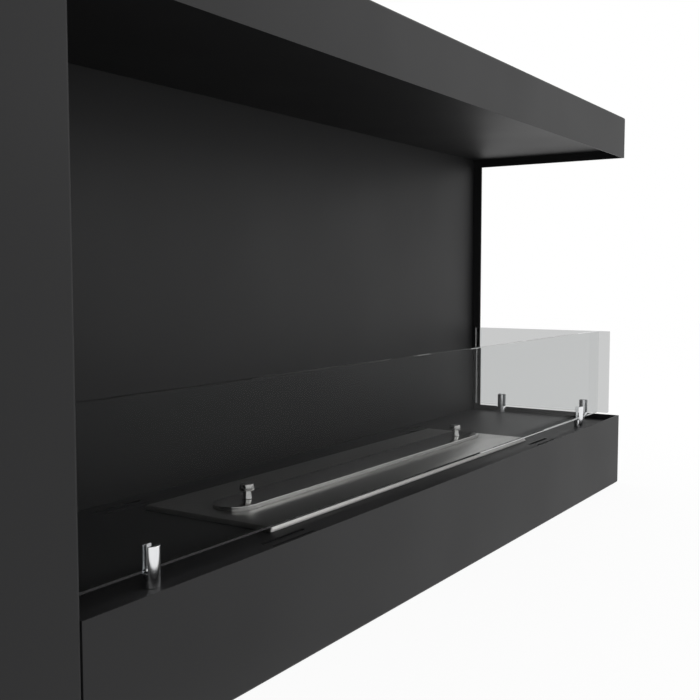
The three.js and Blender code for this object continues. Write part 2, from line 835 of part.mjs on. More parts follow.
addCorner('base', baseSection, 0);
addCorner('hood', hoodSection, casingHeight);
addColumn();
addRearPost();
addRearPanel();
addDeck();
addCeiling();
addBackWall();
addFloor();
addHoodTop();
addWallSpacers();
addCrossChannels();
addBurnerPlate();
addTank();
addSlotCollar();
addLid();
addKnobs();
addGlass();
addHolders();
addCasingScrews();

export default fireplace;
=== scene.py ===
"""Built-in corner fireplace for bioethanol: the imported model, dressed for a product picture.

Lengths are in metres, +Z is up, and the front faces -Y.
"""

import json
import logging
import math
from dataclasses import dataclass, field
from enum import Enum
from typing import Callable, Sequence

import bmesh
import bpy
from mathutils import Matrix, Vector, kdtree, noise


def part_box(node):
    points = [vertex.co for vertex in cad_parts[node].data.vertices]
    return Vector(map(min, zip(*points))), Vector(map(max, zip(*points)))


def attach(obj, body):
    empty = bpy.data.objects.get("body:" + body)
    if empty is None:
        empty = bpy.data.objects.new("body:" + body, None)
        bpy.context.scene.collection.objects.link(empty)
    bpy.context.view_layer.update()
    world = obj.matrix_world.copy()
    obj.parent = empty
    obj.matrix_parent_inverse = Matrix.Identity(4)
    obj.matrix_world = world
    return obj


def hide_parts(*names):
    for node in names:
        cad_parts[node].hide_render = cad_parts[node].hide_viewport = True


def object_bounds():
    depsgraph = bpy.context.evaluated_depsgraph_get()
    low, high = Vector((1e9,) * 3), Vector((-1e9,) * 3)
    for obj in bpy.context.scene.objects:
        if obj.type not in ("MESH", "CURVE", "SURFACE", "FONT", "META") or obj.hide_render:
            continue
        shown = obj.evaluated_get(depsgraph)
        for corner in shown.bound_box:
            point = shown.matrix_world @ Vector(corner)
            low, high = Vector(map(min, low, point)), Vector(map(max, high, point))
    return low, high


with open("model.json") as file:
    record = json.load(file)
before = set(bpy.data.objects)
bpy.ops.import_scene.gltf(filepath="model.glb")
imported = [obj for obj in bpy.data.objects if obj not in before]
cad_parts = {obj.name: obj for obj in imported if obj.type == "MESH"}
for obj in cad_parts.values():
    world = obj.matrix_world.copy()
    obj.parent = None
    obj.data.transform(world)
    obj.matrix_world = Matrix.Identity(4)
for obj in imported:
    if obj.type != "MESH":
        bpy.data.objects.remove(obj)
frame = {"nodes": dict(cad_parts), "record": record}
CAD_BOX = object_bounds()

logging.basicConfig(level=logging.INFO, format="%(message)s")
log = logging.getLogger("fireplace")

MM = 0.001


# ------------------------------------------------------------------------------ node helpers


def linear(code: str) -> tuple[float, float, float, float]:
    """Turns an sRGB hex value into linear colour.

    Args:
        code: six hexadecimal digits after a hash sign.

    Returns:
        Red, green, blue and an alpha of 1, in linear light.
    """
    channels = (int(code[i:i + 2], 16) / 255 for i in (1, 3, 5))
    red, green, blue = (c / 12.92 if c <= 0.04045 else ((c + 0.055) / 1.055) ** 2.4 for c in channels)
    return red, green, blue, 1.0


def add_node(tree: bpy.types.NodeTree, kind: str, settings: dict | None = None,
             values: dict | None = None, links: dict | None = None) -> bpy.types.Node:
    """Adds one node with its settings, input values and incoming links.

    Args:
        tree: the tree that takes the node.
        kind: the node's type name.
        settings: attributes of the node by name.
        values: default values by input name or index.
        links: output sockets by the input that they feed.

    Returns:
        The new node.
    """
    node = tree.nodes.new(kind)
    for key, value in (settings or {}).items():
        setattr(node, key, value)
    for key, value in (values or {}).items():
        node.inputs[key].default_value = value
    for key, socket in (links or {}).items():
        tree.links.new(socket, node.inputs[key])
    return node


# ------------------------------------------------------------------------------ finishes


@dataclass(frozen=True)
class Finish:
    """A finish: what the surface is and how it was made."""

    name: str
    colour: str
    roughness: float
    metallic: float = 0.0
    extras: dict = field(default_factory=dict)

    def material(self) -> bpy.types.Material:
        """Builds the material, or returns the one built before.

        Returns:
            The material, with its pattern linked.
        """
        known = bpy.data.materials.get(self.name)
        if known is not None:
            return known
        material = bpy.data.materials.new(self.name)
        material.use_nodes = True
        tree = material.node_tree
        shader = tree.nodes["Principled BSDF"]
        shader.inputs["Base Color"].default_value = linear(self.colour)
        shader.inputs["Roughness"].default_value = self.roughness
        shader.inputs["Metallic"].default_value = self.metallic
        for key, value in self.extras.items():
            shader.inputs[key].default_value = value
        self.pattern(tree, shader)
        return material

    def pattern(self, tree: bpy.types.NodeTree, shader: bpy.types.Node) -> None:
        """Adds the surface's own pattern; a plain finish has none."""

    def grain(self, tree: bpy.types.NodeTree, size: Sequence[float], detail: float = 3.0) -> bpy.types.Node:
        """Adds noise whose grain has the given size along each axis.

        Args:
            tree: the material's tree.
            size: grain length along X, Y and Z in metres.
            detail: octaves of the noise.

        Returns:
            The noise node.
        """
        place = add_node(tree, "ShaderNodeTexCoord")
        scale = tuple(1 / s for s in size)
        turn = add_node(tree, "ShaderNodeMapping", values={"Scale": scale},
                        links={"Vector": place.outputs["Object"]})
        return add_node(tree, "ShaderNodeTexNoise", values={"Scale": 1.0, "Detail": detail},
                        links={"Vector": turn.outputs["Vector"]})

    def spread(self, tree: bpy.types.NodeTree, source: bpy.types.NodeSocket, low: float,
               high: float) -> bpy.types.NodeSocket:
        """Maps noise onto a range of values.

        Args:
            tree: the material's tree.
            source: the noise output.
            low: value at the noise's low end.
            high: value at its high end.

        Returns:
            The mapped output.
        """
        ranged = add_node(tree, "ShaderNodeMapRange",
                          values={"From Min": 0.3, "From Max": 0.7, "To Min": low, "To Max": high},
                          links={"Value": source})
        return ranged.outputs["Result"]

    def bump(self, tree: bpy.types.NodeTree, shader: bpy.types.Node, height: bpy.types.NodeSocket,
             depth: float, strength: float) -> None:
        """Feeds a height pattern to the shader's normal.

        Args:
            tree: the material's tree.
            shader: the surface shader.
            height: output that carries the height.
            depth: height of the relief in metres.
            strength: share of it that is felt.
        """
        relief = add_node(tree, "ShaderNodeBump", values={"Strength": strength, "Distance": depth},
                          links={"Height": height})
        tree.links.new(relief.outputs["Normal"], shader.inputs["Normal"])


@dataclass(frozen=True)
class PowderCoat(Finish):
    """Baked powder on sheet steel: a matt skin with a faint orange-peel."""

    peel: float = 1.6 * MM

    def pattern(self, tree: bpy.types.NodeTree, shader: bpy.types.Node) -> None:
        """Adds the orange-peel relief and a slow drift of the sheen."""
        # The real peel is finer; it is drawn 1.6 mm coarse so that it breaks up the reflections.
        peel = self.grain(tree, (self.peel,) * 3, 2.0)
        self.bump(tree, shader, peel.outputs["Fac"], 0.02 * MM, 0.35)
        drift = self.grain(tree, (0.16, 0.16, 0.16), 2.0)
        sheen = self.spread(tree, drift.outputs["Fac"], self.roughness - 0.03, self.roughness + 0.03)
        tree.links.new(sheen, shader.inputs["Roughness"])


@dataclass(frozen=True)
class BrushedSteel(Finish):
    """Stainless sheet, brushed along X: reflections smear across the lines."""

    line: float = 0.5 * MM
    depth: float = 0.002 * MM

    def pattern(self, tree: bpy.types.NodeTree, shader: bpy.types.Node) -> None:
        """Adds the brush lines, and turns the smear across them on every face."""
        # Lines are 0.1 mm apart on the real sheet; at 0.5 mm they still show as a grain.
        # The brushing runs a hair off X, so that faces square to X keep a tangent too.
        lines = self.grain(tree, (90 * MM, self.line, self.line), 4.0)
        self.bump(tree, shader, lines.outputs["Fac"], self.depth, 0.5)
        sheen = self.spread(tree, lines.outputs["Fac"], self.roughness - 0.02, self.roughness + 0.02)
        tree.links.new(sheen, shader.inputs["Roughness"])
        face = add_node(tree, "ShaderNodeNewGeometry")
        across = add_node(tree, "ShaderNodeVectorMath", {"operation": "CROSS_PRODUCT"},
                          {1: (1.0, 0.02, 0.0)}, {0: face.outputs["Normal"]})
        tree.links.new(across.outputs["Vector"], shader.inputs["Tangent"])


@dataclass(frozen=True)
class ZincPlate(Finish):
    """Galvanised sheet: a dull metal with a flaky spangle."""

    spangle: float = 9 * MM

    def pattern(self, tree: bpy.types.NodeTree, shader: bpy.types.Node) -> None:
        """Varies the roughness from flake to flake."""
        place = add_node(tree, "ShaderNodeTexCoord")
        flakes = add_node(tree, "ShaderNodeTexVoronoi", values={"Scale": 1 / self.spangle},
                          links={"Vector": place.outputs["Object"]})
        tone = add_node(tree, "ShaderNodeRGBToBW", links={"Color": flakes.outputs["Color"]})
        sheen = self.spread(tree, tone.outputs["Val"], self.roughness - 0.08, self.roughness + 0.1)
        tree.links.new(sheen, shader.inputs["Roughness"])


@dataclass(frozen=True)
class FibreBlanket(Finish):
    """Ceramic fibre: a chalky felt of fine, tangled strands."""

    strand: float = 0.8 * MM

    def pattern(self, tree: bpy.types.NodeTree, shader: bpy.types.Node) -> None:
        """Adds the felt's relief."""
        felt = self.grain(tree, (self.strand, 4 * self.strand, self.strand), 5.0)
        self.bump(tree, shader, felt.outputs["Fac"], 0.6 * MM, 0.8)


@dataclass(frozen=True)
class Polished(Finish):
    """A polished surface: its gloss carries faint streaks left by wiping."""

    streak: tuple[float, float, float] = (3 * MM, 3 * MM, 30 * MM)
    haze: float = 0.03

    def pattern(self, tree: bpy.types.NodeTree, shader: bpy.types.Node) -> None:
        """Dulls the gloss along upright streaks."""
        marks = self.grain(tree, self.streak)
        gloss = self.spread(tree, marks.outputs["Fac"], self.roughness, self.roughness + self.haze)
        tree.links.new(gloss, shader.inputs["Roughness"])


@dataclass(frozen=True)
class MouldedRubber(Finish):
    """Rubber from an eroded mould: matt, with a fine even grain."""

    pit: float = 0.35 * MM

    def pattern(self, tree: bpy.types.NodeTree, shader: bpy.types.Node) -> None:
        """Adds the grain of the mould and lets the sheen vary with it."""
        pits = self.grain(tree, (self.pit,) * 3, 2.0)
        self.bump(tree, shader, pits.outputs["Fac"], 0.03 * MM, 0.6)
        sheen = self.spread(tree, pits.outputs["Fac"], self.roughness - 0.1, self.roughness + 0.1)
        tree.links.new(sheen, shader.inputs["Roughness"])


# Matt black powder coat: almost no gloss head-on, and a soft grey sheen at a flat angle.
POWDER_COAT = PowderCoat("black_powder_coat", "#222223", 0.5, extras={"Specular IOR Level": 0.28})
# Brushed stainless steel: bright where it faces the light, with reflections smeared across the lines.
BRUSHED_STAINLESS = BrushedSteel("brushed_stainless", "#b4b3b1", 0.33, 1.0, extras={"Anisotropic": 0.2})
# The lid is brushed finer, so that its top mirrors the black wall; its colour is lighter than the plate's steel, a
# painted highlight on the lid's wall.
FINE_BRUSHED_STAINLESS_PAINTED_HIGHLIGHT = BrushedSteel("fine_brushed_stainless_painted_highlight", "#bebdbb", 0.13, 1.0, line=0.4 * MM,
                                      extras={"Anisotropic": 0.5})
# The same steel turned on a lathe, with finer lines; its colour is lighter than the plate's steel, a painted
# highlight on the knobs.
TURNED_STAINLESS_PAINTED_HIGHLIGHT = BrushedSteel("turned_stainless_painted_highlight", "#dad9d7", 0.2, 1.0, line=0.3 * MM)
# Polished chrome plate: a near mirror that shows the white room and the black deck.
CHROME = Polished("polished_chrome", "#f1f2f4", 0.17, 1.0, haze=0.06)
# Toughened float glass: clear through its faces, with a grey tint that builds up along its edges.
TINTED_GLASS = Polished("tinted_float_glass", "#f2f3f3", 0.0, haze=0.02,
                        extras={"Transmission Weight": 1.0, "IOR": 1.07})
# Zinc-plated sheet steel: dull grey with a faint spangle.
ZINC_PLATE = ZincPlate("zinc_plated_steel", "#a4a7aa", 0.42, 1.0)
# Silicone rubber: black and lightless.
SILICONE = MouldedRubber("silicone_rubber", "#141414", 0.85)
# Ceramic fibre blanket: an off-white felt that soaks up the fuel.
CERAMIC_WOOL = FibreBlanket("ceramic_fibre", "#e6e3da", 1.0)

SLOT_FINISH = {
    "black_steel": POWDER_COAT,
    "zinc_steel": ZINC_PLATE,
    "brushed_steel": BRUSHED_STAINLESS,
    "chrome": CHROME,
    "smoked_glass": TINTED_GLASS,
    "rubber": SILICONE,
    "ceramic_wool": CERAMIC_WOOL,
}


# ------------------------------------------------------------------------------ studio


class Ray(Enum):
    """Kinds of ray that Light Path tells apart."""

    CAMERA = "Is Camera Ray"
    GLOSSY = "Is Glossy Ray"
    TRANSMISSION = "Is Transmission Ray"


@dataclass
class Studio:
    """Camera, lamps, world and floor of the product picture."""

    camera_place: tuple[float, float, float] = (-0.79899, -0.52746, 0.28133)
    right: tuple[float, float, float] = (0.542681, -0.839939, 0.000545)
    forward: tuple[float, float, float] = (0.837698, 0.541186, -0.073340)
    lens_mm: float = 49.316
    sensor_mm: float = 36.0
    world_light: float = 0.75
    backdrop: dict = field(default_factory=lambda: {Ray.CAMERA: 1.0, Ray.GLOSSY: 0.9, Ray.TRANSMISSION: 0.62})
    key_watts: float = 4.0
    key_size: float = 1.2
    key_place: tuple[float, float, float] = (1.3, -1.5, 1.2)
    key_target: tuple[float, float, float] = (0.0, 0.0, 0.25)
    floor_size: float = 12.0
    floor_colour: str = "#f4f4f3"
    floor_white: float = 0.88
    floor_glow: float = 1.04

    def build(self) -> None:
        """Builds the whole studio."""
        self.build_camera()
        self.build_world()
        self.build_key_lamp()
        self.build_floor()
        bpy.context.scene.view_settings.view_transform = "Standard"

    def build_camera(self) -> None:
        """Places the camera where the photograph was taken from."""
        camera = bpy.data.cameras.new("camera")
        camera.lens = self.lens_mm
        camera.sensor_width = self.sensor_mm
        camera.clip_start = 0.01
        obj = bpy.data.objects.new("camera", camera)
        bpy.context.scene.collection.objects.link(obj)
        right = Vector(self.right).normalized()
        forward = Vector(self.forward).normalized()
        up = right.cross(forward)
        turn = Matrix((right, up, -forward)).transposed().to_4x4()
        obj.matrix_world = Matrix.Translation(self.camera_place) @ turn
        bpy.context.scene.camera = obj

    def build_world(self) -> None:
        """Builds a soft white surround, brighter for rays that look at it than for its light."""
        world = bpy.data.worlds.new("studio")
        bpy.context.scene.world = world
        world.use_nodes = True
        tree = world.node_tree
        path = add_node(tree, "ShaderNodeLightPath")
        strength = None
        level = self.world_light
        for ray, seen in self.backdrop.items():
            mix = add_node(tree, "ShaderNodeMix", {"data_type": "FLOAT"}, {2: level, 3: seen},
                           {0: path.outputs[ray.value]})
            if strength is not None:
                tree.links.new(strength, mix.inputs[2])
            strength = mix.outputs[0]
        background = tree.nodes["Background"]
        background.inputs["Color"].default_value = (1.0, 1.0, 1.0, 1.0)
        tree.links.new(strength, background.inputs["Strength"])

    def build_key_lamp(self) -> None:
        """Hangs one large soft box to the right of the front."""
        lamp = bpy.data.lights.new("soft_box", "AREA")
        lamp.shape = "SQUARE"
        lamp.size = self.key_size
        lamp.energy = self.key_watts
        obj = bpy.data.objects.new("soft_box", lamp)
        bpy.context.scene.collection.objects.link(obj)
        aim = Vector(self.key_target) - Vector(self.key_place)
        obj.matrix_world = Matrix.Translation(self.key_place) @ aim.to_track_quat("-Z", "Y").to_matrix().to_4x4()

    def build_floor(self) -> None:
        """Lays a pale floor that keeps a soft shadow and reads as white."""
        half = self.floor_size / 2
        mesh = bpy.data.meshes.new("floor")
        corners = [(-half, -half, 0.0), (half, -half, 0.0), (half, half, 0.0), (-half, half, 0.0)]
        mesh.from_pydata(corners, [], [(0, 1, 2, 3)])
        floor = bpy.data.objects.new("floor", mesh)
        bpy.context.scene.collection.objects.link(floor)
        mesh.materials.append(self.floor_material())

    def floor_material(self) -> bpy.types.Material:
        """Builds matt white paper that glows a little for rays that look at it.

        Returns:
            The floor's material.
        """
        material = bpy.data.materials.new("white_paper_floor")
        material.use_nodes = True
        tree = material.node_tree
        shader = tree.nodes["Principled BSDF"]
        shader.inputs["Base Color"].default_value = linear(self.floor_colour)
        shader.inputs["Roughness"].default_value = 0.9
        path = add_node(tree, "ShaderNodeLightPath")
        seen = level = None
        for ray, white in self.backdrop.items():
            if seen is None:
                seen = path.outputs[ray.value]
                level = add_node(tree, "ShaderNodeMath", {"operation": "MULTIPLY"}, {1: white}, {0: seen}).outputs[0]
                continue
            seen = add_node(tree, "ShaderNodeMath", {"operation": "MAXIMUM"},
                            links={0: seen, 1: path.outputs[ray.value]}).outputs[0]
            level = add_node(tree, "ShaderNodeMix", {"data_type": "FLOAT"}, {3: white},
                             {0: path.outputs[ray.value], 2: level}).outputs[0]
        share = add_node(tree, "ShaderNodeMath", {"operation": "MULTIPLY"}, {1: self.floor_white}, {0: seen})
        lifted = add_node(tree, "ShaderNodeMath", {"operation": "MULTIPLY"}, {1: self.floor_glow}, {0: level})
        glow = add_node(tree, "ShaderNodeEmission", links={"Strength": lifted.outputs[0]})
        mixed = add_node(tree, "ShaderNodeMixShader",
                         links={0: share.outputs[0], 1: shader.outputs[0], 2: glow.outputs[0]})
        tree.links.new(mixed.outputs[0], tree.nodes["Material Output"].inputs["Surface"])
        return material


# ------------------------------------------------------------------------------ outlines and forms

Outline = list[tuple[float, float]]
BEND_STEPS = 6
END_STEPS = 24
TURN_STEPS = 72
SHARP_DEGREES = 35.0
WELD = 0.001 * MM


def arc(x: float, y: float, radius: float, start: float, turn: float, steps: int) -> Outline:
    """Lists points along an arc, both ends included.

    Args:
        x: the centre's first coordinate.
        y: its second coordinate.
        radius: the arc's radius.
        start: angle of the first point in degrees.
        turn: angle swept in degrees, counter-clockwise when positive.
        steps: number of chords.

    Returns:
        The points in order.
    """
    angles = (math.radians(start + turn * i / steps) for i in range(steps + 1))
    return [(x + radius * math.cos(a), y + radius * math.sin(a)) for a in angles]


def stadium(length: float, width: float, steps: int = END_STEPS) -> Outline:
    """Outlines a long plate or slot with round ends, counter-clockwise about the origin."""
    reach = (length - width) / 2
    return (arc(reach, 0, width / 2, -90, 180, steps)
            + arc(-reach, 0, width / 2, 90, 180, steps))


def rectangle(width: float, depth: float, radius: float, steps: int = BEND_STEPS) -> Outline:
    """Outlines a rectangle with round corners, counter-clockwise about the origin."""
    x, y = width / 2 - radius, depth / 2 - radius
    return (arc(x, y, radius, 0, 90, steps) + arc(-x, y, radius, 90, 90, steps)
            + arc(-x, -y, radius, 180, 90, steps) + arc(x, -y, radius, 270, 90, steps))


def moved(outline: Outline, x: float, y: float) -> Outline:
    """Shifts an outline in its plane."""
    return [(px + x, py + y) for px, py in outline]


class Form:
    """A mesh under construction, made of rings of points that are joined or filled."""

    def __init__(self) -> None:
        """Starts an empty mesh."""
        self.mesh = bmesh.new()

    def ring(self, outline: Outline, z: float) -> list:
        """Adds a ring of points at one height."""
        return [self.mesh.verts.new((x, y, z)) for x, y in outline]

    def skin(self, lower: list, upper: list) -> None:
        """Joins two rings of equal count by quads."""
        count = len(lower)
        for i in range(count):
            j = (i + 1) % count
            self.mesh.faces.new((lower[i], lower[j], upper[j], upper[i]))

    def rings(self, outline_of: Callable[[float], Outline], profile: Outline) -> list[list]:
        """Lofts rings through a profile.

        Args:
            outline_of: gives the outline for an inset from the outer edge.
            profile: pairs of inset and height, from one end of the skin to the other.

        Returns:
            The rings, in the profile's order.
        """
        made = [self.ring(outline_of(inset), z) for inset, z in profile]
        for lower, upper in zip(made, made[1:]):
            self.skin(lower, upper)
        return made

    def fill(self, *rings: list) -> None:
        """Fills the flat area inside the first ring and outside the others."""
        edges = []
        for ring in rings:
            for i, vert in enumerate(ring):
                pair = (vert, ring[(i + 1) % len(ring)])
                edges.append(self.mesh.edges.get(pair) or self.mesh.edges.new(pair))
        bmesh.ops.triangle_fill(self.mesh, use_beauty=True, use_dissolve=False, edges=edges)

    def turned(self, profile: Outline, steps: int = TURN_STEPS) -> None:
        """Turns a profile about +Z.

        Args:
            profile: pairs of radius and height; a radius of 0 is a pole.
            steps: facets round the turn.
        """
        before = None
        for radius, z in profile:
            if radius == 0:
                here = [self.mesh.verts.new((0, 0, z))]
            else:
                here = self.ring(arc(0, 0, radius, 0, 360, steps)[:-1], z)
            if before is not None:
                self.join_turned(before, here)
            before = here

    def join_turned(self, lower: list, upper: list) -> None:
        """Joins two turned rings, either of which may be a pole."""
        if len(lower) == len(upper):
            self.skin(lower, upper)
            return
        pole, ring = (lower[0], upper) if len(lower) == 1 else (upper[0], lower)
        for i, vert in enumerate(ring):
            self.mesh.faces.new((pole, ring[(i + 1) % len(ring)], vert))

    def place(self, matrix: Matrix) -> "Form":
        """Moves all points so far."""
        bmesh.ops.transform(self.mesh, matrix=matrix, verts=self.mesh.verts)
        return self

    def done(self, name: str) -> bpy.types.Mesh:
        """Closes the form, with its faces outwards and its shading set.

        Args:
            name: name of the mesh.

        Returns:
            The finished mesh.
        """
        bmesh.ops.remove_doubles(self.mesh, verts=self.mesh.verts, dist=1e-7)
        bmesh.ops.recalc_face_normals(self.mesh, faces=self.mesh.faces)
        mesh = bpy.data.meshes.new(name)
        self.mesh.to_mesh(mesh)
        self.mesh.free()
        shade(mesh)
        return mesh


def shade(mesh: bpy.types.Mesh) -> None:
    """Shades bends smooth, and flats that face along an axis flat, so that no flat looks dished."""
    for face in mesh.polygons:
        face.use_smooth = max(abs(c) for c in face.normal) < 0.99999
    mesh.set_sharp_from_angle(angle=math.radians(SHARP_DEGREES))


def show(name: str, mesh: bpy.types.Mesh, finish: Finish, body: str,
         nodes: Sequence[str]) -> bpy.types.Object:
    """Puts a finished mesh into the scene in place of the solids that it stands for.

    Args:
        name: name of the piece.
        mesh: its mesh, already in place.
        finish: its finish.
        body: the body that it rides on.
        nodes: the solids that it replaces.

    Returns:
        The piece.
    """
    mesh.materials.clear()
    mesh.materials.append(finish.material())
    piece = bpy.data.objects.new(name, mesh)
    bpy.context.scene.collection.objects.link(piece)
    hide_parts(*nodes)
    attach(piece, body)
    log.info("made %s: %d faces, rides on %s", name, len(mesh.polygons), body)
    return piece


def middle(node: str) -> Vector:
    """Gives the centre of a solid's box at rest."""
    low, high = (Vector(corner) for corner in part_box(node))
    return (low + high) / 2


def soft_bends(node: bpy.types.Object, tree: bpy.types.NodeTree, sheet_edge: float) -> None:
    """Shades a solid's bends smooth and breaks its sheet edges, with modifiers alone.

    Args:
        node: the solid, whose mesh stays as it is.
        tree: the Geometry Nodes tree that welds and shades.
        sheet_edge: width of the broken edge.
    """
    weld = node.modifiers.new("soft_bends", "NODES")
    weld.node_group = tree
    for item in tree.interface.items_tree:
        if item.name == "Bend Angle":
            weld[item.identifier] = math.radians(SHARP_DEGREES)
    edge = node.modifiers.new("broken_edge", "BEVEL")
    edge.width, edge.segments, edge.limit_method = sheet_edge, 2, "ANGLE"
    edge.angle_limit = math.radians(60)
    even = node.modifiers.new("even_flats", "WEIGHTED_NORMAL")
    even.keep_sharp = True


def soft_bend_tree() -> bpy.types.NodeTree:
    """Builds the tree that welds loose triangles and leaves only sharp edges unsmoothed.

    Returns:
        The tree, with one named input for the angle.
    """
    tree = bpy.data.node_groups.new("soft_bends", "GeometryNodeTree")
    tree.interface.new_socket("Solid", in_out="INPUT", socket_type="NodeSocketGeometry")
    tree.interface.new_socket("Bend Angle", in_out="INPUT", socket_type="NodeSocketFloat")
    tree.interface.new_socket("Solid", in_out="OUTPUT", socket_type="NodeSocketGeometry")
    entry = add_node(tree, "NodeGroupInput")
    welded = add_node(tree, "GeometryNodeMergeByDistance", values={"Distance": 1e-6},
                      links={0: entry.outputs[0]})
    smooth = add_node(tree, "GeometryNodeSetShadeSmooth", {"domain": "FACE"}, {"Shade Smooth": True},
                      {0: welded.outputs[0]})
    fold = add_node(tree, "GeometryNodeInputMeshEdgeAngle")
    sharp = add_node(tree, "FunctionNodeCompare", {"operation": "GREATER_THAN"},
                     links={0: fold.outputs["Unsigned Angle"], 1: entry.outputs["Bend Angle"]})
    creased = add_node(tree, "GeometryNodeSetShadeSmooth", {"domain": "EDGE"}, {"Shade Smooth": False},
                       {0: smooth.outputs[0], "Selection": sharp.outputs[0]})
    add_node(tree, "NodeGroupOutput", links={0: creased.outputs[0]})
    return tree


# ------------------------------------------------------------------------------ repeats by nodes


class Pattern:
    """A Geometry Nodes tree with named inputs, evaluated once into a plain mesh."""

    def __init__(self, name: str, inputs: dict) -> None:
        """Starts the tree.

        Args:
            name: name of the tree.
            inputs: value of each named input; a float, a whole number or an object.
        """
        self.name = name
        self.inputs = inputs
        self.tree = bpy.data.node_groups.new(name, "GeometryNodeTree")
        face = self.tree.interface
        self.mould = face.new_socket("Places", in_out="INPUT", socket_type="NodeSocketGeometry")
        self.sockets = {}
        kinds = {float: "NodeSocketFloat", int: "NodeSocketInt", bpy.types.Object: "NodeSocketObject"}
        for key, value in inputs.items():
            self.sockets[key] = face.new_socket(key, in_out="INPUT", socket_type=kinds[type(value)])
        face.new_socket("Piece", in_out="OUTPUT", socket_type="NodeSocketGeometry")
        self.entry = self.add("NodeGroupInput")

    def add(self, kind: str, settings: dict | None = None, values: dict | None = None,
            links: dict | None = None) -> bpy.types.Node:
        """Adds one node to the tree."""
        return add_node(self.tree, kind, settings, values, links)

    def value(self, key: str) -> bpy.types.NodeSocket:
        """Gives the output that carries a named input."""
        return self.entry.outputs[key]

    def flag(self, key: str) -> bpy.types.NodeSocket:
        """Gives the output of a named number on the places."""
        return self.add("GeometryNodeInputNamedAttribute", {"data_type": "FLOAT"}, {"Name": key}).outputs[0]

    def grow(self, result: bpy.types.NodeSocket, finish: Finish, places: bpy.types.Mesh) -> bpy.types.Mesh:
        """Evaluates the tree on its places and takes the modifier away again.

        Args:
            result: the tree's last geometry output.
            finish: finish of the result.
            places: the mesh whose points and edges steer the tree.

        Returns:
            A plain mesh.
        """
        real = self.add("GeometryNodeRealizeInstances", links={0: result})
        dressed = self.add("GeometryNodeSetMaterial", values={"Material": finish.material()},
                           links={"Geometry": real.outputs[0]})
        self.add("NodeGroupOutput", links={0: dressed.outputs[0]})
        carrier = bpy.data.objects.new(self.name, places)
        bpy.context.scene.collection.objects.link(carrier)
        modifier = carrier.modifiers.new(self.name, "NODES")
        modifier.node_group = self.tree
        for key, value in self.inputs.items():
            modifier[self.sockets[key].identifier] = value
        graph = bpy.context.evaluated_depsgraph_get()
        mesh = bpy.data.meshes.new_from_object(carrier.evaluated_get(graph))
        carrier.modifiers.remove(modifier)
        bpy.data.objects.remove(carrier)
        shade(mesh)
        return mesh


def places(name: str, points: Sequence[Sequence[float]], loops: Sequence[Outline] = (),
           numbers: dict | None = None) -> bpy.types.Mesh:
    """Makes the mesh that steers a pattern: loose points first, then closed loops of edges.

    Args:
        name: name of the mesh.
        points: the loose points.
        loops: outlines in the plane z = 0.
        numbers: values for the loose points, by attribute name.

    Returns:
        The mesh, whose attribute "loose" is 1 on the loose points.
    """
    verts = [tuple(point) for point in points]
    edges = []
    for loop in loops:
        first = len(verts)
        verts += [(x, y, 0.0) for x, y in loop]
        edges += [(first + i, first + (i + 1) % len(loop)) for i in range(len(loop))]
    mesh = bpy.data.meshes.new(name)
    mesh.from_pydata(verts, edges, [])
    rest = len(verts) - len(points)
    for key, values in {"loose": [1.0] * len(points), **(numbers or {})}.items():
        layer = mesh.attributes.new(key, "FLOAT", "POINT")
        layer.data.foreach_set("value", list(values) + [0.0] * rest)
    return mesh


def copies(name: str, source: bpy.types.Mesh, finish: Finish, points: Sequence[Sequence[float]],
           turns: Sequence[float]) -> bpy.types.Mesh:
    """Sets copies of one mesh at points, each turned about +Z, as one mesh.

    Args:
        name: name of the pattern.
        source: the mesh that is repeated.
        finish: its finish.
        points: where the copies stand.
        turns: angle of each copy in radians.

    Returns:
        All the copies in one mesh.
    """
    model = bpy.data.objects.new(f"{name}_model", source)
    pattern = Pattern(name, {"Model": model, "Scale": 1.0})
    take = pattern.add("GeometryNodeObjectInfo", {"transform_space": "ORIGINAL"},
                       links={"Object": pattern.value("Model")})
    turn = pattern.add("ShaderNodeCombineXYZ", links={"Z": pattern.flag("turn")})
    spread = pattern.add("GeometryNodeInstanceOnPoints", links={
        "Points": pattern.value("Places"),
        "Instance": take.outputs["Geometry"],
        "Rotation": turn.outputs[0],
        "Scale": pattern.value("Scale"),
    })
    mesh = pattern.grow(spread.outputs[0], finish, places(name, points, numbers={"turn": turns}))
    bpy.data.objects.remove(model)
    return mesh


